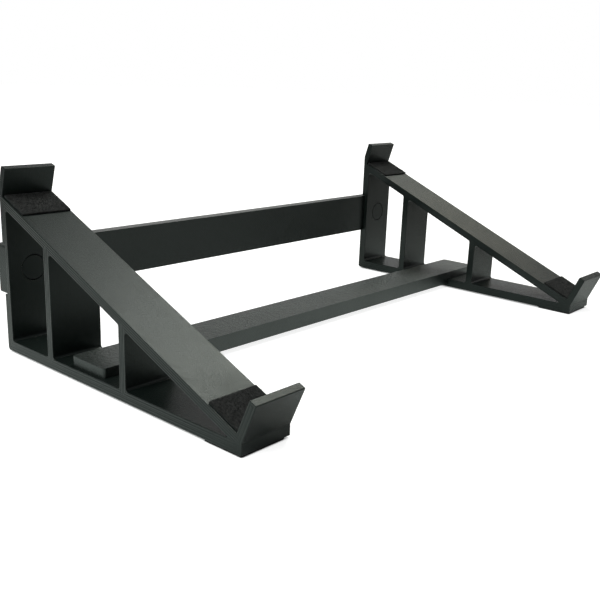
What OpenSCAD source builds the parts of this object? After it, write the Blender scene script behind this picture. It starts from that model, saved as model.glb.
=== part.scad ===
// Tilted riser stand for a small pedalboard.
// Two upright side frames hold the board between a front lip and a rear hook.
// A lower rail and a rear rail tie the frames together, and round pegs lock the joints.
// X runs along the rails, Y from the front lip to the rear hook, and Z is up from the floor.

/* [Stand] */
// Width of the stand over the outer faces of both side frames
span = 363; // [200:1:600]
// Length of the seat along the slope, between lip and hook
seat_len = 204; // [190:1:320]
// Tilt of the seat from the floor, in degrees
tilt = 23; // [18:0.5:28]

/* [Side frame] */
// Width of each side frame, along the rails
frame_w = 31; // [22:0.5:50]
// Thickness of the bottom strip
strip_t = 6; // [4.5:0.1:8]
// Thickness of the sloping seat plate, square to the slope
plate_t = 5.1; // [4.2:0.1:7]
// Height of the inner corner where the seat meets the lip
seat_z = 9.7; // [9:0.1:14]
// Height of the upright front face, up to where the lip starts to lean
nose_h = 5.9; // [4:0.1:7]
// Thickness of the two inner posts
post_t = 5; // [3.5:0.1:8]
// Thickness of the back post
back_t = 5.5; // [4.5:0.1:9]
// How far the back post's outer face stands behind the rear end of the seat
back_reach = 2.6; // [2:0.1:3.5]
// Distance from the front face to the middle of the front inner post
front_post_y = 84.3; // [70:0.1:95]
// Distance from the front face to the middle of the rear inner post
rear_post_y = 149; // [145:0.1:165]
// Radius of the corners inside the windows
window_r = 1.6; // [0.5:0.1:2.5]
// Radius of the sharp front corner of the front window
tip_r = 0.4; // [0.2:0.1:1]
// Size of the bevel on the lower back corner
heel_bevel = 1.2; // [0.5:0.1:4]
// Radius of the rounded edges that run along the rails
edge_r = 0.5; // [0.2:0.1:1]

/* [Lip and hook] */
// Thickness of the front lip
lip_t = 4.5; // [3:0.1:6]
// Height of the lip's inner face, square to the slope
lip_h = 19.4; // [10:0.1:30]
// Thickness of the rear hook
hook_t = 4.2; // [3:0.1:5]
// Height of the hook's inner face
hook_h = 16.5; // [10:0.1:25]
// Forward lean of the hook from upright, in degrees
hook_lean = 17.5; // [12:0.5:22]

/* [Rails] */
// Breadth of the lower rail
lower_rail_w = 28.5; // [20:0.5:35]
// Thickness of the lower rail
lower_rail_t = 9.6; // [8:0.1:11]
// Thickness of the lower rail where it laps over the bottom strips
lap_t = 5.5; // [4.2:0.1:7]
// Distance from the front face to the lower rail's front edge
lower_rail_y = 103.5; // [100:0.1:109]
// How far the lower rail's left end stops short of the left frame's outer face
left_inset = 2.5; // [0:0.1:6]
// How far the lower rail's right end stands out past the right frame
right_reach = 8.8; // [0:0.1:15]
// Breadth of the rear rail, which stands on edge
rear_rail_w = 29; // [20:0.5:40]
// Thickness of the rear rail
rear_rail_t = 8; // [6:0.1:12]
// Height of the rear rail's lower edge above the frames' underside
rear_rail_z = 33.3; // [15:0.1:45]
// Depth of the notch that the back post has for the rear rail
notch_depth = 2.6; // [1:0.1:3]
// Radius of the rails' end corners
rail_r = 1.8; // [0.3:0.1:4]

/* [Pegs] */
// Diameter of the pegs that lock the rails
peg_d = 14.7; // [8:0.1:18]
// How deep a peg goes into the rear rail
peg_grip = 5; // [3:0.1:7]
// How deep a peg goes into the lower rail's lap
lap_grip = 3.4; // [1.5:0.1:3.8]
// Bevel on both ends of a peg
peg_bevel = 0.4; // [0.1:0.05:0.8]

/* [Pads] */
// Length of the seat pads along the slope
pad_len = 20.8; // [10:0.1:30]
// Thickness of the seat pads
pad_t = 1.3; // [0.6:0.1:3]
// Margin between a seat pad and the frame's left side
pad_left = 1; // [0:0.1:4]
// Margin between a seat pad and the frame's right side
pad_right = 0.2; // [0:0.1:4]
// Length of the foot pads along the strip
foot_len = 24; // [10:0.5:40]
// Thickness of the foot pads
foot_t = 1; // [0.6:0.1:3]
// Distance from the front and back ends to the foot pads
foot_setback = 0.4; // [0:0.1:8]
// Margin between a front foot pad and the frame's left side
foot_left = 0.2; // [0:0.1:4]
// Margin between a rear foot pad and the frame's left side
rear_foot_left = 3.4; // [0:0.1:6]
// Margin between a foot pad and the frame's right side
foot_right = 3; // [0:0.1:6]
// Radius of the corners of all pads
pad_r = 1.2; // [0.3:0.1:4]

/* [Fits] */
// Gap round a peg where it passes through a frame
peg_gap = 0.3; // [0.1:0.05:0.6]
// Gap round a peg in the bore of a rail
snug_gap = 0.05; // [0.02:0.01:0.1]
// Gap between a rail and the frame beside it
rail_gap = 0.2; // [0.1:0.05:0.5]
// Gap between a seat pad and the lip or hook
pad_gap = 0.2; // [0.1:0.05:0.5]

/* [Hidden] */
overrun = 1;
arc_steps = 5;
bore_fn = 64;

// Directions in the side view, as [Y, Z]: up the slope, out of the slope, up the hook, behind it
up_slope = [cos(tilt), sin(tilt)];
off_slope = [-sin(tilt), cos(tilt)];
up_hook = [-sin(hook_lean), cos(hook_lean)];
off_hook = [cos(hook_lean), sin(hook_lean)];

// Corners of the side view, as [Y, Z] from the foot of the front face
lip_root = (nose_h - seat_z + lip_t * sin(tilt)) / cos(tilt);
seat_front = [lip_t * cos(tilt) + lip_root * sin(tilt), seat_z];
seat_rear = seat_front + seat_len * up_slope;
lip_inner = seat_front + lip_h * off_slope;
lip_outer = lip_inner - lip_t * up_slope;
hook_inner = seat_rear + hook_h * up_hook;
hook_outer = hook_inner + hook_t * off_hook;
back_y = seat_rear[0] + back_reach;
kink = hook_outer - (back_y - hook_outer[0]) / sin(hook_lean) * up_hook;

// Places of the rails and pegs, in the same side view
notch_y = back_y - notch_depth;
lower_rail_top = strip_t + lap_t;
rear_peg_z = rear_rail_z + rear_rail_w / 2;
lower_peg_y = lower_rail_y + lower_rail_w / 2;

// Where the rear pads start, up the seat from the lip and along the floor from the front
rear_pad_start = seat_len - pad_gap - pad_len;
rear_foot_start = back_y - heel_bevel - foot_setback - foot_len;

// The stand's own middle and floor
middle_x = (span + right_reach) / 2;
middle_y = (lip_outer[0] + max(back_y, notch_y + rear_rail_t)) / 2;

function unit(v) = v / norm(v);

// Height of the seat plate's underside at a distance y from the front face
function under_seat(y) = seat_z - plate_t * cos(tilt)
    + (y - seat_front[0] - plate_t * sin(tilt)) * tan(tilt);

// Where the seat plate's underside runs into the bottom strip
function window_tip() = seat_front[0] + plate_t * sin(tilt)
    + (strip_t - seat_z + plate_t * cos(tilt)) / tan(tilt);

// An arc of radius r that rounds the corner p between its neighbours a and b
function corner_arc(a, p, b, r) =
    let (u = unit(a - p), v = unit(b - p), half = acos(u * v) / 2)
    let (c = p + unit(u + v) * r / sin(half), q = p + u * r / tan(half) - c)
    let (turn = (u[0] * v[1] - u[1] * v[0] > 0 ? -1 : 1) * (180 - 2 * half))
    let (start = atan2(q[1], q[0]))
    [for (i = [0 : arc_steps]) c + r * [cos(start + turn * i / arc_steps), sin(start + turn * i / arc_steps)]];

// An outline with each corner rounded by its own radius, where 0 keeps it sharp
function rounded(points, radii) = [for (i = [0 : len(points) - 1])
    let (n = len(points), a = points[(i + n - 1) % n], b = points[(i + 1) % n])
    each radii[i] > 0 ? corner_arc(a, points[i], b, radii[i]) : [points[i]]];

// The window between two posts, from y0 to y1, under the sloping seat plate
function window(y0, y1) = rounded(
    [[y0, strip_t], [y1, strip_t], [y1, under_seat(y1)], [y0, under_seat(y0)]],
    [window_r, window_r, window_r, window_r]);

function front_window(y1) = rounded(
    [[window_tip(), strip_t], [y1, strip_t], [y1, under_seat(y1)]],
    [tip_r, window_r, window_r]);

function frame_outline() = rounded(
    [[0, 0], [back_y - heel_bevel, 0], [back_y, heel_bevel], kink, hook_outer, hook_inner,
        seat_rear, seat_front, lip_inner, lip_outer, [0, nose_h]],
    [edge_r, edge_r, edge_r, 4 * edge_r, edge_r, edge_r,
        edge_r, edge_r, edge_r, edge_r, edge_r]);

// Moves a piece from the frames' own corner to the stand's middle and floor
module placed(x) {
    translate([x - middle_x, -middle_y, foot_t]) children();
}

// Extrudes a side view along the rails
module across(width) {
    rotate([90, 0, 90]) linear_extrude(width) children();
}

module side_frame() {
    difference() {
        across(frame_w) difference() {
            polygon(frame_outline());
            polygon(front_window(front_post_y - post_t / 2));
            polygon(window(front_post_y + post_t / 2, rear_post_y - post_t / 2));
            polygon(window(rear_post_y + post_t / 2, back_y - back_t));
        }
        translate([-overrun, notch_y, rear_rail_z])
            cube([frame_w + 2 * overrun, notch_depth + overrun, rear_rail_w + rail_gap]);
        translate([frame_w / 2, back_y + overrun, rear_peg_z]) rotate([90, 0, 0])
            cylinder(h = back_t + 2 * overrun, d = peg_d + 2 * peg_gap, $fn = bore_fn);
        translate([frame_w / 2, lower_peg_y, -overrun])
            cylinder(h = strip_t + 2 * overrun, d = peg_d + 2 * peg_gap, $fn = bore_fn);
    }
}

// A flat bar with rounded end corners, from its lower left corner
module plank(length, breadth, thickness) {
    linear_extrude(thickness) polygon(rounded(
        [[0, 0], [length, 0], [length, breadth], [0, breadth]],
        [rail_r, rail_r, rail_r, rail_r]));
}

// The lower rail is halved at both ends, where it laps over the bottom strips
module lower_rail_body() {
    difference() {
        translate([left_inset, lower_rail_y, lower_rail_top - lower_rail_t])
            plank(span + right_reach - left_inset, lower_rail_w, lower_rail_t);
        translate([left_inset - overrun, lower_rail_y - overrun, strip_t - lower_rail_t])
            cube([frame_w + rail_gap - left_inset + overrun, lower_rail_w + 2 * overrun, lower_rail_t]);
        translate([span - frame_w - rail_gap, lower_rail_y - overrun, strip_t - lower_rail_t])
            cube([frame_w + rail_gap + right_reach + overrun, lower_rail_w + 2 * overrun, lower_rail_t]);
        for (x = [frame_w / 2, span - frame_w / 2])
            translate([x, lower_peg_y, strip_t - overrun])
                cylinder(h = lap_grip + overrun, d = peg_d + 2 * snug_gap, $fn = bore_fn);
    }
}

// The rear rail stands on edge in the notches of both back posts
module rear_rail_body() {
    difference() {
        translate([0, notch_y + rear_rail_t, rear_rail_z]) rotate([90, 0, 0])
            plank(span, rear_rail_w, rear_rail_t);
        for (x = [frame_w / 2, span - frame_w / 2])
            translate([x, notch_y + peg_grip, rear_peg_z]) rotate([90, 0, 0])
                cylinder(h = peg_grip + overrun, d = peg_d + 2 * snug_gap, $fn = bore_fn);
    }
}

// A round peg with bevelled ends, standing up from its foot
module peg(length) {
    rotate_extrude($fn = bore_fn) polygon([[0, 0], [peg_d / 2 - peg_bevel, 0], [peg_d / 2, peg_bevel],
        [peg_d / 2, length - peg_bevel], [peg_d / 2 - peg_bevel, length], [0, length]]);
}

module rear_peg() {
    color("dimgray") translate([frame_w / 2, back_y - back_t, rear_peg_z]) rotate([-90, 0, 0])
        peg(back_t - notch_depth + peg_grip);
}

module lower_peg() {
    color("dimgray") translate([frame_w / 2, lower_peg_y, 0]) peg(strip_t + lap_grip);
}

// A thin pad as wide as the frame, less its own margin at each side
module pad(left, right, length, thickness) {
    linear_extrude(thickness) polygon(rounded(
        [[left, 0], [frame_w - right, 0], [frame_w - right, length], [left, length]],
        [pad_r, pad_r, pad_r, pad_r]));
}

// A pad on the sloping seat, starting at a distance up the slope
module seat_pad(start) {
    color("black") translate([0, seat_front[0], seat_front[1]]) rotate([tilt, 0, 0])
        translate([0, start, 0]) pad(pad_left, pad_right, pad_len, pad_t);
}

module foot_pad(start, left) {
    color("black") translate([0, start, -foot_t]) pad(left, foot_right, foot_len, foot_t);
}

module left_frame() {
    color("darkslategray") placed(0) side_frame();
}

module right_frame() {
    color("darkslategray") placed(span - frame_w) side_frame();
}

module lower_rail() {
    color("slategray") placed(0) lower_rail_body();
}

module rear_rail() {
    color("slategray") placed(0) rear_rail_body();
}

module left_rear_peg() {
    placed(0) rear_peg();
}

module right_rear_peg() {
    placed(span - frame_w) rear_peg();
}

module left_lower_peg() {
    placed(0) lower_peg();
}

module right_lower_peg() {
    placed(span - frame_w) lower_peg();
}

// The front seat pads stand a small gap from the lip, and the rear ones from the hook
module left_front_pad() {
    placed(0) seat_pad(pad_gap);
}

module left_rear_pad() {
    placed(0) seat_pad(rear_pad_start);
}

module right_front_pad() {
    placed(span - frame_w) seat_pad(pad_gap);
}

module right_rear_pad() {
    placed(span - frame_w) seat_pad(rear_pad_start);
}

module left_front_foot() {
    placed(0) foot_pad(foot_setback, foot_left);
}

module left_rear_foot() {
    placed(0) foot_pad(rear_foot_start, rear_foot_left);
}

module right_front_foot() {
    placed(span - frame_w) foot_pad(foot_setback, foot_left);
}

module right_rear_foot() {
    placed(span - frame_w) foot_pad(rear_foot_start, rear_foot_left);
}

left_frame();
right_frame();
lower_rail();
rear_rail();
left_rear_peg();
right_rear_peg();
left_lower_peg();
right_lower_peg();
left_front_pad();
left_rear_pad();
right_front_pad();
right_rear_pad();
left_front_foot();
left_rear_foot();
right_front_foot();
right_rear_foot();
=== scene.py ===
"""Looks for a tilted riser stand: printed plastic frames and rails, with felt seat pads and feet.

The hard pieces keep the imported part's meshes and get materials. The eight felt pieces are replaced.
"""
import math
import random

import bpy
from mathutils import Matrix, Vector, noise

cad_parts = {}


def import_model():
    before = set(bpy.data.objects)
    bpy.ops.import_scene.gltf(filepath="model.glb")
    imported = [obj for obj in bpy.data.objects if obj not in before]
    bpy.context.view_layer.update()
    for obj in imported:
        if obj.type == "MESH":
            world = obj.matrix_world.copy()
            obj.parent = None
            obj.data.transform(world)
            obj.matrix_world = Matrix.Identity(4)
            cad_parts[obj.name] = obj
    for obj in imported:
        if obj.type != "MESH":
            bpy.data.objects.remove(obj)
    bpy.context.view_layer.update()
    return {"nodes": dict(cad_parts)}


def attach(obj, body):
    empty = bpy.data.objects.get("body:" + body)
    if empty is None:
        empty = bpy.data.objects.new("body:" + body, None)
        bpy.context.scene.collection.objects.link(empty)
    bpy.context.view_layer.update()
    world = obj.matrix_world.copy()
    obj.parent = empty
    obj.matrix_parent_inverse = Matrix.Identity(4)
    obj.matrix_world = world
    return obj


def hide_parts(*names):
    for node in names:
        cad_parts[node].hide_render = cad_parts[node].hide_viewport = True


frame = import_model()

MM = 0.001
WHITE = (1, 1, 1, 1)

# Sizes of the stand, in millimetres and degrees, as in the part's source
SPAN, SEAT_LEN, TILT = 363.0, 204.0, 23.0
FRAME_W, STRIP_T, PLATE_T, SEAT_Z, NOSE_H = 31.0, 6.0, 5.1, 9.7, 5.9
POST_T, BACK_T, BACK_REACH, FRONT_POST_Y, REAR_POST_Y = 5.0, 5.5, 2.6, 84.3, 149.0
LIP_T, LIP_H, HOOK_T, HOOK_H, HOOK_LEAN = 4.5, 19.4, 4.2, 16.5, 17.5
RIGHT_REACH, REAR_RAIL_T, NOTCH, HEEL = 8.8, 8.0, 2.6, 1.2
PAD_LEN, PAD_T, PAD_LEFT, PAD_RIGHT, PAD_GAP = 20.8, 1.3, 1.0, 0.2, 0.2
FOOT_LEN, FOOT_T, FOOT_SETBACK, FOOT_RIGHT = 24.0, 1.0, 0.4, 3.0
FOOT_LEFT = {"front": 0.2, "rear": 3.4}

# Corners of a side frame's outline, as [Y, Z] from its own lower front corner
SIN, COS = math.sin(math.radians(TILT)), math.cos(math.radians(TILT))
TAN = SIN / COS
LEAN_SIN, LEAN_COS = math.sin(math.radians(HOOK_LEAN)), math.cos(math.radians(HOOK_LEAN))
LIP_ROOT = (NOSE_H - SEAT_Z + LIP_T * SIN) / COS
SEAT_FRONT = (LIP_T * COS + LIP_ROOT * SIN, SEAT_Z)
SEAT_REAR = (SEAT_FRONT[0] + SEAT_LEN * COS, SEAT_FRONT[1] + SEAT_LEN * SIN)
LIP_INNER = (SEAT_FRONT[0] - LIP_H * SIN, SEAT_FRONT[1] + LIP_H * COS)
LIP_OUTER = (LIP_INNER[0] - LIP_T * COS, LIP_INNER[1] - LIP_T * SIN)
HOOK_INNER = (SEAT_REAR[0] - HOOK_H * LEAN_SIN, SEAT_REAR[1] + HOOK_H * LEAN_COS)
HOOK_OUTER = (HOOK_INNER[0] + HOOK_T * LEAN_COS, HOOK_INNER[1] + HOOK_T * LEAN_SIN)
BACK_Y = SEAT_REAR[0] + BACK_REACH
KINK = (BACK_Y, HOOK_OUTER[1] - (BACK_Y - HOOK_OUTER[0]) / LEAN_SIN * LEAN_COS)

# The middle of the whole stand, and where things start: frames along X, pads up the seat, feet along Y
MIDDLE_X = (SPAN + RIGHT_REACH) / 2
MIDDLE_Y = (LIP_OUTER[0] + BACK_Y - NOTCH + REAR_RAIL_T) / 2
FRAME_STARTS = {"left": 0.0, "right": SPAN - FRAME_W}
PAD_STARTS = {"front": PAD_GAP, "rear": SEAT_LEN - PAD_GAP - PAD_LEN}
FOOT_STARTS = {"front": FOOT_SETBACK, "rear": BACK_Y - HEEL - FOOT_SETBACK - FOOT_LEN}


def under_seat(y):
    """Height of the seat plate's underside at a distance from the front face."""
    return SEAT_Z - PLATE_T * COS + (y - SEAT_FRONT[0] - PLATE_T * SIN) * TAN


def place(x, y, z):
    """A point in metres, from millimetres at the left frame's own lower front corner."""
    return Vector(((x - MIDDLE_X) * MM, (y - MIDDLE_Y) * MM, (z + FOOT_T) * MM))


# Camera, at the photograph's viewing angle
CAMERA_AT = (-227.76, -229.67, 160.05)
YAW, PITCH, ROLL, FOCAL_PX, IMAGE_PX = 48.8, -15.39, 2.117, 817.47, 600
SENSOR_MM, CLIP_NEAR, CLIP_FAR = 36, 0.01, 20


def add_camera():
    yaw, pitch, roll = (math.radians(a) for a in (YAW, PITCH, ROLL))
    forward = Vector((math.sin(yaw) * math.cos(pitch), math.cos(yaw) * math.cos(pitch), math.sin(pitch)))
    right = Vector((math.cos(yaw), -math.sin(yaw), 0))
    up = right.cross(forward)
    right, up = right * math.cos(roll) + up * math.sin(roll), up * math.cos(roll) - right * math.sin(roll)
    data = bpy.data.cameras.new("camera")
    data.sensor_width = SENSOR_MM
    data.lens = FOCAL_PX / IMAGE_PX * data.sensor_width
    data.clip_start, data.clip_end = CLIP_NEAR, CLIP_FAR
    camera = bpy.data.objects.new("camera", data)
    bpy.context.scene.collection.objects.link(camera)
    turn = Matrix((right, up, -forward)).transposed().to_4x4()
    camera.matrix_world = Matrix.Translation(place(*CAMERA_AT)) @ turn
    bpy.context.scene.camera = camera


class Nodes:
    """A small helper that writes the nodes of a material, or of the world, in one line each."""

    def __init__(self, name=None, world=None):
        if world:
            self.tree = world.node_tree
            return
        self.material = bpy.data.materials.new(name)
        self.material.use_nodes = True
        self.tree = self.material.node_tree
        self.shader = self.tree.nodes["Principled BSDF"]

    def put(self, socket, value):
        """Links a socket, or sets it to a constant. None leaves it as it is."""
        if isinstance(value, bpy.types.NodeSocket):
            self.tree.links.new(value, socket)
        elif value is not None:
            socket.default_value = value

    def add(self, kind, *inputs, **settings):
        node = self.tree.nodes.new(kind)
        for key, value in settings.items():
            setattr(node, key, value)
        for socket, value in zip(node.inputs, inputs):
            self.put(socket, value)
        return node

    def here(self):
        """The shaded point, from the middle of the stand."""
        return self.add("ShaderNodeTexCoord").outputs["Object"]

    def parts(self, vector):
        return self.add("ShaderNodeSeparateXYZ", vector).outputs

    def facing(self, axis):
        """How square a face is to an axis, from 0 to 1."""
        normal = self.add("ShaderNodeNewGeometry").outputs["Normal"]
        return self.math("ABSOLUTE", self.parts(normal)[axis])

    def math(self, operation, *inputs, clamp=False):
        return self.add("ShaderNodeMath", *inputs, operation=operation, use_clamp=clamp).outputs[0]

    def times(self, a, b):
        return self.math("MULTIPLY", a, b)

    def total(self, *values, clamp=False):
        """The sum of some values, where clamp keeps it from 0 to 1."""
        found = values[0]
        for value in values[1:-1]:
            found = self.math("ADD", found, value)
        return self.math("ADD", found, values[-1], clamp=clamp)

    def wave(self, kind, value, length):
        """A SINE or COSINE of a value, with one wave to a length."""
        return self.math(kind, self.times(value, math.tau / length))

    def vector(self, operation, *inputs):
        node = self.add("ShaderNodeVectorMath", *inputs, operation=operation)
        return node.outputs["Value" if operation in ("DOT_PRODUCT", "LENGTH", "DISTANCE") else "Vector"]

    def noise(self, vector, scale, detail=2.0, roughness=0.5):
        node = self.add("ShaderNodeTexNoise")
        self.put(node.inputs["Vector"], vector)
        node.inputs["Scale"].default_value = scale
        node.inputs["Detail"].default_value = detail
        node.inputs["Roughness"].default_value = roughness
        return node.outputs["Fac"]

    def range(self, value, low, high, to_low, to_high):
        return self.add("ShaderNodeMapRange", value, low, high, to_low, to_high).outputs["Result"]

    def ramp(self, value, dark, light):
        node = self.add("ShaderNodeValToRGB", value)
        for point, at, colour in zip(node.color_ramp.elements, (0.0, 1.0), (dark, light)):
            point.position = at
            point.color = (*colour, 1)
        return node.outputs["Color"]

    def mix(self, share, a, b):
        node = self.add("ShaderNodeMix", data_type="FLOAT")
        for socket, value in zip(node.inputs[:4], (share, None, a, b)):
            self.put(socket, value)
        return node.outputs[0]

    def bump(self, height, distance, strength=1.0, normal=None):
        node = self.add("ShaderNodeBump")
        node.inputs["Strength"].default_value = strength
        node.inputs["Distance"].default_value = distance
        self.put(node.inputs["Height"], height)
        self.put(node.inputs["Normal"], normal)
        return node.outputs["Normal"]


def wall_distance(n, at, y, z):
    """Distance from a side frame's outline and windows, measured in its side view, for its walls of beads."""
    def inside(a, b):
        """Distance to the left of the line from a to b, where each is [Y, Z] in millimetres."""
        a, b = (place(0, *point) for point in (a, b))
        along = (b - a).normalized()
        facing = Vector((0, -along.z, along.y))
        return n.math("SUBTRACT", n.vector("DOT_PRODUCT", at, tuple(facing)), facing.dot(a))

    def after(value):
        return n.math("SUBTRACT", y, place(0, value, 0).y)

    def before(value):
        return n.math("SUBTRACT", place(0, value, 0).y, y)

    def above(value):
        return n.math("SUBTRACT", z, place(0, 0, value).z)

    def least(*values):
        found = values[0]
        for value in values[1:]:
            found = n.math("MINIMUM", found, value)
        return found

    body = least(above(0), after(0), before(BACK_Y), inside(SEAT_REAR, SEAT_FRONT))
    lip = least(inside(SEAT_FRONT, LIP_INNER), inside(LIP_INNER, LIP_OUTER), inside(LIP_OUTER, (0, NOSE_H)))
    hook = least(inside(KINK, HOOK_OUTER), inside(HOOK_OUTER, HOOK_INNER), inside(HOOK_INNER, SEAT_REAR))
    outer = n.math("MAXIMUM", body, n.math("MAXIMUM", lip, hook))
    opening = least(above(STRIP_T), inside((BACK_Y, under_seat(BACK_Y)), (0, under_seat(0))))
    half = POST_T / 2
    gaps = n.math("MAXIMUM", before(FRONT_POST_Y - half), n.math("MAXIMUM",
                  least(after(FRONT_POST_Y + half), before(REAR_POST_Y - half)),
                  least(after(REAR_POST_Y + half), before(BACK_Y - BACK_T))))
    return least(outer, n.times(least(opening, gaps), -1))


# Printed plastic. Heights are in bump depths. A noise is a scale per metre, a detail and a roughness.
# A range is two values and the two that they become.
BLACK_DARK, BLACK_LIGHT = (0.0030, 0.0052, 0.0045), (0.0064, 0.0100, 0.0088)
PLASTIC_TINT = (0.93, 1.0, 0.97, 1)
PLASTIC_GLOSS = 0.28
BUMP_DEPTH = 0.03 * MM
EDGE_RADIUS, PEG_EDGE_RADIUS, EDGE_SAMPLES = 0.35 * MM, 0.5 * MM, 4
BEAD = 1.3 * MM       # width of one printed bead
LAYER = 0.2 * MM      # height of one printed layer
DIAGONAL = math.sqrt(2)
GRAIN = (2600, 3)


def finish_plastic(n, height, rough, tone, gloss=PLASTIC_GLOSS, edge=EDGE_RADIUS):
    """Sets colour, roughness and bump of printed plastic from its own height and tone patterns."""
    s = n.shader
    n.put(s.inputs["Base Color"], n.ramp(tone, BLACK_DARK, BLACK_LIGHT))
    n.put(s.inputs["Roughness"], rough)
    s.inputs["Specular IOR Level"].default_value = gloss
    s.inputs["Specular Tint"].default_value = PLASTIC_TINT
    bevel = n.add("ShaderNodeBevel", samples=EDGE_SAMPLES)
    bevel.inputs["Radius"].default_value = edge
    n.put(s.inputs["Normal"], n.bump(height, BUMP_DEPTH, normal=bevel.outputs["Normal"]))
    return n.material


# The side frames: a face is a side face where its normal has this share of X
SIDE_FACING = 0.7
WALL_DEPTH = (2.45 * BEAD, 2.55 * BEAD, 0, 1)       # from the walls' beads to the filling's
RIB_PATCHES, RIB_STRENGTH, RIB_HEIGHT = (35, 2), (0.38, 0.6, 0.25, 1), -2.2
# Painted shade: the tone darkens in the grooves between the wall beads, where shade falls
GROOVE_PAINTED_SHADE = (0.3, 1.0, 0, -0.38)                  # from the ribs' wave to a darker tone
FILLING_SHARE, LAYER_HEIGHT, STREAK_HEIGHT = 0.35, 0.25, 1.5
STREAK_SCALE, STREAKS = (1 / LAYER / 2, 60, 60), (1.0, 3)
MOTTLE, GRAIN_HEIGHT, MOTTLE_HEIGHT = (850, 2), 0.8, 1.7
FRAME_BLOTCH, BLOTCH_TONE, GRAIN_TONE = (45, 4, 0.6), 0.7, 0.3
GRAIN_ROUGHNESS, FRAME_ROUGHNESS = 0.4, (0.3, 1.0, 0.28, 0.38)


def frame_plastic():
    """Printed lying on its side: walls follow the outline on the sides, layers line every other face."""
    n = Nodes("printed_frame")
    at = n.here()
    x, y, z = n.parts(at)
    nearest = wall_distance(n, at, y, z)
    on_side = n.math("GREATER_THAN", n.facing("X"), SIDE_FACING)
    wall = n.wave("COSINE", nearest, BEAD)
    filling = n.wave("SINE", n.math("ADD", y, z), BEAD * DIAGONAL)
    strength = n.times(n.range(n.noise(at, *RIB_PATCHES), *RIB_STRENGTH), RIB_HEIGHT)
    ribs = n.times(n.mix(n.range(nearest, *WALL_DEPTH), wall, n.times(filling, FILLING_SHARE)), strength)
    streaks = n.noise(n.vector("MULTIPLY", at, STREAK_SCALE), *STREAKS)
    layers = n.total(n.times(n.wave("SINE", x, LAYER), LAYER_HEIGHT), n.times(streaks, STREAK_HEIGHT))
    grain = n.noise(at, *GRAIN)
    speckle = n.total(n.times(grain, GRAIN_HEIGHT), n.times(n.noise(at, *MOTTLE), MOTTLE_HEIGHT))
    height = n.total(n.mix(on_side, layers, ribs), speckle)
    blotch = n.noise(at, *FRAME_BLOTCH)
    # Painted shade: on the side faces the tone is darker in the grooves of the bead ribs
    painted_groove_shade = n.mix(on_side, 0, n.range(wall, *GROOVE_PAINTED_SHADE))
    tone = n.total(n.times(blotch, BLOTCH_TONE), n.times(grain, GRAIN_TONE), painted_groove_shade, clamp=True)
    rough = n.range(n.total(blotch, n.times(grain, GRAIN_ROUGHNESS)), *FRAME_ROUGHNESS)
    return finish_plastic(n, height, rough, tone)


# The rails: faces that look up or down have the grain height given to each rail, and the others this one
TOP_FACING, SIDE_GRAIN = (0.6, 0.8), 4
RAIL_GRAIN, RAIL_FINE, RAIL_BLOTCH = (520, 3, 0.6), (2600, 2), (40, 4, 0.6)
RAIL_SLANT_HEIGHT, RAIL_FINE_HEIGHT = 0.4, 2
RAIL_BLOTCH_TONE, RAIL_GRAIN_TONE = 0.5, (0.3, 0.7, 0, 0.5)
RAIL_GRAIN_ROUGHNESS, RAIL_ROUGHNESS = 0.5, (0.3, 1.1, 0.36, 0.5)


def rail_plastic(name, gloss, top_grain):
    """Printed lying flat: fine slanted lines, and a coarse grain that is strongest on tops and undersides."""
    n = Nodes(name)
    at = n.here()
    x, y, z = n.parts(at)
    slant = n.wave("SINE", n.math("ADD", x, n.math("ADD", y, z)), BEAD * DIAGONAL)
    grain = n.noise(at, *RAIL_GRAIN)
    fine = n.times(n.noise(at, *RAIL_FINE), RAIL_FINE_HEIGHT)
    grain_height = n.range(n.facing("Z"), *TOP_FACING, SIDE_GRAIN, top_grain)
    height = n.total(n.times(slant, RAIL_SLANT_HEIGHT), n.total(n.times(grain, grain_height), fine))
    blotch = n.noise(at, *RAIL_BLOTCH)
    tone = n.total(n.times(blotch, RAIL_BLOTCH_TONE), n.range(grain, *RAIL_GRAIN_TONE), clamp=True)
    rough = n.range(n.total(blotch, n.times(grain, RAIL_GRAIN_ROUGHNESS)), *RAIL_ROUGHNESS)
    return finish_plastic(n, height, rough, tone, gloss=gloss)


PEG_BLOTCH, PEG_TONE, PEG_GRAIN_HEIGHT = (60, 3), 0.7, 1.6
PEG_ROUGHNESS = (0.3, 0.7, 0.42, 0.5)


def peg_plastic():
    """The pegs have the frames' grain and softer edges."""
    n = Nodes("printed_peg")
    at = n.here()
    grain = n.noise(at, *GRAIN)
    tone = n.times(n.noise(at, *PEG_BLOTCH), PEG_TONE)
    rough = n.range(grain, *PEG_ROUGHNESS)
    return finish_plastic(n, n.times(grain, PEG_GRAIN_HEIGHT), rough, tone, edge=PEG_EDGE_RADIUS)


FUZZ, CLUMP, FUZZ_TONE, CLUMP_TONE = (3500, 4, 0.65), (900, 3), 0.4, 0.6
FELT_CONTRAST = (0.4, 0.66, 0, 1)
FELT_SETTINGS = {"Roughness": 0.95, "Specular IOR Level": 0.2, "Sheen Weight": 0.06, "Sheen Roughness": 0.6}
FUZZ_DEPTH, FUZZ_STRENGTH = 0.2 * MM, 0.8


def felt(name, dark, light):
    n = Nodes(name)
    at = n.here()
    fuzz = n.noise(at, *FUZZ)
    tone = n.total(n.times(fuzz, FUZZ_TONE), n.times(n.noise(at, *CLUMP), CLUMP_TONE))
    s = n.shader
    n.put(s.inputs["Base Color"], n.ramp(n.range(tone, *FELT_CONTRAST), dark, light))
    for setting, value in FELT_SETTINGS.items():
        s.inputs[setting].default_value = value
    n.put(s.inputs["Normal"], n.bump(fuzz, FUZZ_DEPTH, FUZZ_STRENGTH))
    return n.material


def dress(material, *nodes):
    """Puts a material on the slots of CAD nodes, or gives them one."""
    for name in nodes:
        node = frame["nodes"][name]
        for slot in node.material_slots or [None]:
            if slot is None:
                node.data.materials.append(material)
            else:
                slot.material = material


# Felt, in millimetres and shares of its thickness
CORNER_RADIUS, CORNER_TURNS = 0.6, 3
SEAT_STEP, FOOT_STEP = 0.4, 0.5                   # between points round the outline
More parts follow.
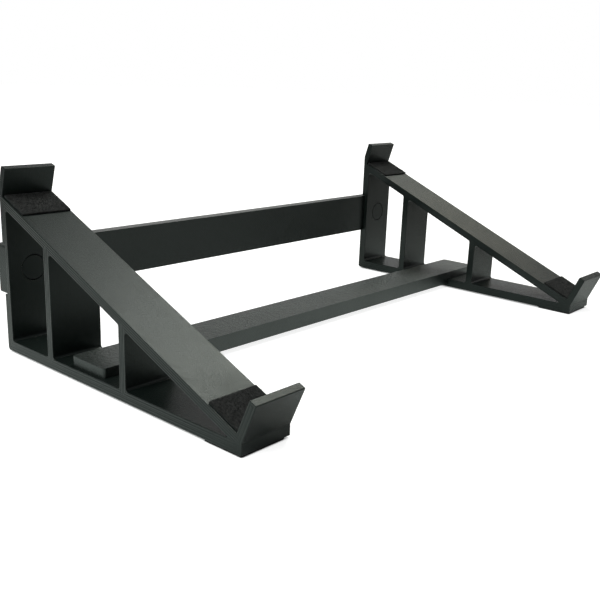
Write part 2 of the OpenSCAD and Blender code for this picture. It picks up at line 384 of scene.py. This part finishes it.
# Rows of the rim: how far in, how high as a share, and how ragged
RIM_ROWS = ((0.15, 0.0, 0.05), (0.0, 0.25, 0.16), (0.02, 0.6, 0.16), (0.18, 0.84, 0.14))
RIM_WAVES, RIM_SEED = 0.8, 3.1                    # raggedness per millimetre, and its shift for each piece
TOP_ROWS, TOP_SHARE = 14, 0.88
TOP_WAVES, TOP_SEED, TOP_RISE = 1.1, 7.3, 0.10    # the same for the uneven top
FINE_WAVES, FINE_RISE = 2.7, 0.07                 # and its finer waves, for each coarse one
# Loops on the seat pads, as arches of three-sided yarn
LOOPS, LOOP_MARGIN, LOOP_ROOT = 1500, 0.5, 0.86
LOOP_SPAN, LOOP_HEIGHT, LOOP_LEAN = (0.35, 0.75), (0.18, 0.42), 0.25
ARCH_POINTS, YARN_SIDES, YARN_RADIUS = 6, 3, 0.06
UP = Vector((0, 0, 1))


def rounded_line(width, length, radius, step):
    """Points round a rectangle with rounded corners, at about equal steps."""
    corners = [(width - radius, radius, -90), (width - radius, length - radius, 0),
               (radius, length - radius, 90), (radius, radius, 180)]
    turns = max(CORNER_TURNS, round(radius * math.pi / 2 / step))
    points = []
    for i, (cx, cy, start) in enumerate(corners):
        arc = [math.radians(start + 90 * k / turns) for k in range(turns + 1)]
        points += [(cx + radius * math.cos(a), cy + radius * math.sin(a)) for a in arc]
        nx, ny, _ = corners[(i + 1) % len(corners)]
        end = (nx + radius * math.cos(arc[-1]), ny + radius * math.sin(arc[-1]))
        here = points[-1]
        count = max(1, round(math.dist(here, end) / step))
        points += [(here[0] + (end[0] - here[0]) * k / count, here[1] + (end[1] - here[1]) * k / count)
                   for k in range(1, count)]
    return points


def add_loop(verts, faces, root, turn, span, rise):
    """An arch of yarn over a point of the pad, turned about it, with its top moved by rise."""
    side = Vector((math.cos(turn), math.sin(turn), 0))
    across = side.cross(UP)
    first = len(verts)
    for k in range(ARCH_POINTS):
        a = math.pi * k / (ARCH_POINTS - 1)
        spot = root + side * (-math.cos(a) * span / 2) + rise * math.sin(a)
        for t in range(YARN_SIDES):
            b = math.tau * t / YARN_SIDES
            verts.append(spot + (across * math.cos(b) + UP * math.sin(b)) * YARN_RADIUS)
    for k in range(ARCH_POINTS - 1):
        low, high = first + YARN_SIDES * k, first + YARN_SIDES * (k + 1)
        for t in range(YARN_SIDES):
            u = (t + 1) % YARN_SIDES
            faces.append((low + t, low + u, high + u, high + t))


def felt_mesh(width, length, thick, step, loops, seed):
    """Points and faces of a felt pad that lies flat, with a ragged rim, an uneven top and its loops."""
    outline = rounded_line(width, length, CORNER_RADIUS, step)
    count = len(outline)
    middle = Vector((width / 2, length / 2, 0))
    verts, faces = [], []

    def bulge(x, y):
        p = Vector((x * TOP_WAVES, y * TOP_WAVES, seed * TOP_SEED))
        return noise.noise(p) * TOP_RISE + noise.noise(p * FINE_WAVES) * FINE_RISE

    def rim_row(inset, height, ragged):
        first = len(verts)
        for x, y in outline:
            inward = (middle - Vector((x, y, 0))).normalized()
            spot = Vector((x * RIM_WAVES, y * RIM_WAVES, seed * RIM_SEED + height))
            shift = inset + ragged * noise.noise(spot)
            verts.append(Vector((x + inward.x * shift, y + inward.y * shift, height)))
        return first

    def join(low, high):
        for i in range(count):
            j = (i + 1) % count
            faces.append((low + i, low + j, high + j, high + i))

    rows = [rim_row(inset, share * thick, ragged) for inset, share, ragged in RIM_ROWS]
    for low, high in zip(rows, rows[1:]):
        join(low, high)
    rim = inner = rows[-1]
    for k in range(1, TOP_ROWS + 1):
        share = k / (TOP_ROWS + 1)
        first = len(verts)
        for i in range(count):
            p = verts[rim + i]
            x, y = p.x + (middle.x - p.x) * share, p.y + (middle.y - p.y) * share
            verts.append(Vector((x, y, TOP_SHARE * thick + bulge(x, y))))
        join(inner, first)
        inner = first
    verts.append(Vector((middle.x, middle.y, TOP_SHARE * thick)))
    for i in range(count):
        faces.append((inner + i, inner + (i + 1) % count, len(verts) - 1))
    faces.append(tuple(reversed(range(rows[0], rows[0] + count))))

    dice = random.Random(seed)
    for _ in range(loops):
        x, y = dice.uniform(LOOP_MARGIN, width - LOOP_MARGIN), dice.uniform(LOOP_MARGIN, length - LOOP_MARGIN)
        turn, span, tall = dice.uniform(0, math.tau), dice.uniform(*LOOP_SPAN), dice.uniform(*LOOP_HEIGHT)
        lean = Vector((dice.uniform(-LOOP_LEAN, LOOP_LEAN), dice.uniform(-LOOP_LEAN, LOOP_LEAN), 0))
        root = Vector((x, y, LOOP_ROOT * thick + bulge(x, y)))
        add_loop(verts, faces, root, turn, span, Vector((0, 0, tall)) + lean)
    return verts, faces


def add_felt(name, node, material, points, faces):
    """Adds a felt piece in place of a CAD node."""
    mesh = bpy.data.meshes.new(name)
    mesh.from_pydata(points, [], faces)
    mesh.materials.append(material)
    for polygon in mesh.polygons:
        polygon.use_smooth = True
    mesh.update()
    pad = bpy.data.objects.new(name, mesh)
    bpy.context.scene.collection.objects.link(pad)
    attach(pad, "root")
    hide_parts(node)


def add_seat_pad(side, end, material, seed):
    """A looped pad on the slope, set out along it and square to it."""
    verts, faces = felt_mesh(FRAME_W - PAD_LEFT - PAD_RIGHT, PAD_LEN, PAD_T, SEAT_STEP, LOOPS, seed)
    points = []
    for p in verts:
        along, high = PAD_STARTS[end] + p.y, p.z
        y, z = SEAT_FRONT[0] + along * COS - high * SIN, SEAT_FRONT[1] + along * SIN + high * COS
        points.append(place(FRAME_STARTS[side] + PAD_LEFT + p.x, y, z))
    add_felt(f"{side}_{end}_seat_felt", f"{side}_{end}_pad", material, points, faces)


def add_foot(side, end, material, seed):
    """A plain pad under a strip, so its faces turn the other way."""
    left = FOOT_LEFT[end]
    verts, faces = felt_mesh(FRAME_W - left - FOOT_RIGHT, FOOT_LEN, FOOT_T, FOOT_STEP, 0, seed)
    points = [place(FRAME_STARTS[side] + left + p.x, FOOT_STARTS[end] + p.y, -p.z) for p in verts]
    faces = [tuple(reversed(face)) for face in faces]
    add_felt(f"{side}_{end}_foot_felt", f"{side}_{end}_foot", material, points, faces)


# Studio. The camera sees a white floor, and reflections see a painted pool of light on the table, with a
# painted shadow before the left lip.
FLOOR_HALF, FLOOR_COLOUR = 6.0, (0.5, 0.5, 0.5, 1)
FLOOR_GLOW = (0.35, 0.9, 0.86, 1.0)                 # from near the stand to far from it
# Painted contact shade: ambient occlusion darkens the camera's floor glow where the stand nearly touches it
CONTACT, CONTACT_SAMPLES, PAINTED_CONTACT_SHADE = 1.5 * MM, 8, (0.25, 0.75, 0, 1)
# Painted reflection: a glowing pool on the table, seen only by mirrored rays, that fades away from the stand
PAINTED_LIGHT_AT, PAINTED_TABLE_FADE = (-0.05, 0.12, 0), (0.27, 0.42, 0.6, 0)
# Painted shadow: a small patch before the left lip where the table's glow drops
PAINTED_SHADOW_AT, PAINTED_SHADOW_GLOW = (-0.162, -0.112, 0), (0.02, 0.045, 0.2, 1)
PAINTED_TABLE_COLOUR = (0.9, 1.02, 0.96, 1)
# The world: its light, and for mirrored rays a horizon that is bright on the right, under a dim room
WORLD_LEVEL, ROOM_GLOW = 0.02, 0.28
HORIZON_SIDE, HORIZON_RISE = (-0.15, 0.15, 0, 1), (0.12, 0.2, 0, 1)
# Each lamp: azimuth and elevation in degrees, width and height in metres, watts, colour
LAMPS = {
    "key": (22, 54, 0.3, 0.45, 3.7, (0.965, 1.0, 0.94)),
    "key_side": (30, 54, 0.3, 0.35, 1.5, (0.94, 1.0, 1.0)),
    "key_high": (21, 66, 0.35, 0.4, 8.7, (0.98, 1.0, 0.91)),
    "left": (180, 45, 0.9, 0.9, 20.0, (0.97, 1.0, 0.99)),
    "low_back": (56, 17, 0.9, 0.4, 1.35, (1.0, 0.98, 0.95)),
    "rim": (11, 32, 0.4, 0.3, 1.3, (1.0, 0.97, 0.79)),
    "edge": (106, 30, 0.6, 0.3, 1.6, (0.97, 1.0, 1.0)),
}
LAMP_REACH, LAMP_AIM = 1.6, Vector((0, 0, 0.03))


def add_lamp(name, turn, rise, wide, tall, watts, colour):
    """An area lamp at an azimuth and elevation round the stand, aimed at it."""
    turn, rise = math.radians(turn), math.radians(rise)
    way = Vector((math.cos(turn) * math.cos(rise), math.sin(turn) * math.cos(rise), math.sin(rise)))
    at = way * LAMP_REACH
    data = bpy.data.lights.new(name, "AREA")
    data.shape, data.size, data.size_y = "RECTANGLE", wide, tall
    data.energy, data.color = watts, colour
    lamp = bpy.data.objects.new(name, data)
    bpy.context.scene.collection.objects.link(lamp)
    lamp.location = at
    lamp.rotation_mode = "QUATERNION"
    lamp.rotation_quaternion = (LAMP_AIM - at).to_track_quat("-Z", "Y")


def ray_kinds(n):
    """Shares of 1 for the camera's rays, and for those that are mirrored or seen through glass."""
    path = n.add("ShaderNodeLightPath").outputs
    return path["Is Camera Ray"], n.total(path["Is Glossy Ray"], path["Is Transmission Ray"], clamp=True)


def floor_glow(n):
    """White to the camera, but for the stand's shadow and a painted line of shade right where it nearly
    touches.
    """
    glow = n.range(n.vector("LENGTH", n.here()), *FLOOR_GLOW)
    # Painted shade: the glow fades where the floor is hemmed in by the stand
    open_sky = n.add("ShaderNodeAmbientOcclusion", None, CONTACT, samples=CONTACT_SAMPLES).outputs["AO"]
    return n.times(glow, n.range(open_sky, *PAINTED_CONTACT_SHADE))


# Painted reflection of a lit table, with a painted shadow patch before the left lip
def painted_table_light(n):
    at = n.here()
    table = n.range(n.vector("DISTANCE", at, PAINTED_LIGHT_AT), *PAINTED_TABLE_FADE)
    # Painted shadow: the table's glow drops to a fifth in a small patch before the left lip
    return n.times(table, n.range(n.vector("DISTANCE", at, PAINTED_SHADOW_AT), *PAINTED_SHADOW_GLOW))


def add_floor(half):
    mesh = bpy.data.meshes.new("floor")
    corners = [(-half, -half, 0), (half, -half, 0), (half, half, 0), (-half, half, 0)]
    mesh.from_pydata(corners, [], [(0, 1, 2, 3)])
    floor = bpy.data.objects.new("floor", mesh)
    bpy.context.scene.collection.objects.link(floor)
    n = Nodes("floor_white")
    s = n.shader
    s.inputs["Base Color"].default_value = FLOOR_COLOUR
    s.inputs["Roughness"].default_value = 1.0
    s.inputs["Specular IOR Level"].default_value = 0.0
    camera, mirrored = ray_kinds(n)
    light = s
    # The camera sees the white glow with its painted contact shade, and mirrored rays see the painted table
    # light
    for colour, share, glow in ((WHITE, camera, floor_glow(n)), (PAINTED_TABLE_COLOUR, mirrored, painted_table_light(n))):
        more = n.add("ShaderNodeEmission", colour, n.times(share, glow))
        light = n.add("ShaderNodeAddShader", light.outputs[0], more.outputs[0])
    n.tree.links.new(light.outputs[0], n.tree.nodes["Material Output"].inputs["Surface"])
    mesh.materials.append(n.material)


def add_world():
    world = bpy.data.worlds.new("studio")
    bpy.context.scene.world = world
    world.use_nodes = True
    n = Nodes(world=world)
    background = world.node_tree.nodes["Background"]
    background.inputs["Color"].default_value = WHITE
    camera, mirrored = ray_kinds(n)
    x, _, z = n.parts(n.add("ShaderNodeTexCoord").outputs["Generated"])
    room = n.mix(n.range(z, *HORIZON_RISE), n.range(x, *HORIZON_SIDE), ROOM_GLOW)
    n.put(background.inputs["Strength"], n.math("MAXIMUM", camera, n.mix(mirrored, WORLD_LEVEL, room)))


bpy.context.scene.view_settings.view_transform = "Standard"
add_camera()
add_floor(FLOOR_HALF)
add_world()
for lamp_name, settings in LAMPS.items():
    add_lamp(lamp_name, *settings)

dress(frame_plastic(), "left_frame", "right_frame")
dress(rail_plastic("printed_lower_rail", gloss=0.64, top_grain=30.0), "lower_rail")
dress(rail_plastic("printed_rear_rail", gloss=0.42, top_grain=10.0), "rear_rail")
dress(peg_plastic(), "left_rear_peg", "right_rear_peg", "left_lower_peg", "right_lower_peg")
seat_felt = felt("looped_felt", dark=(0.0015, 0.0017, 0.0016), light=(0.023, 0.0245, 0.0235))
foot_felt = felt("flat_felt", dark=(0.006, 0.006, 0.006), light=(0.035, 0.034, 0.032))
FOOT_SEEDS = 20       # added to a seat pad's seed for the foot below it
places = [(side, end) for side in FRAME_STARTS for end in PAD_STARTS]
for seed, (side, end) in enumerate(places, 1):
    add_seat_pad(side, end, seat_felt, seed)
    add_foot(side, end, foot_felt, seed + FOOT_SEEDS)
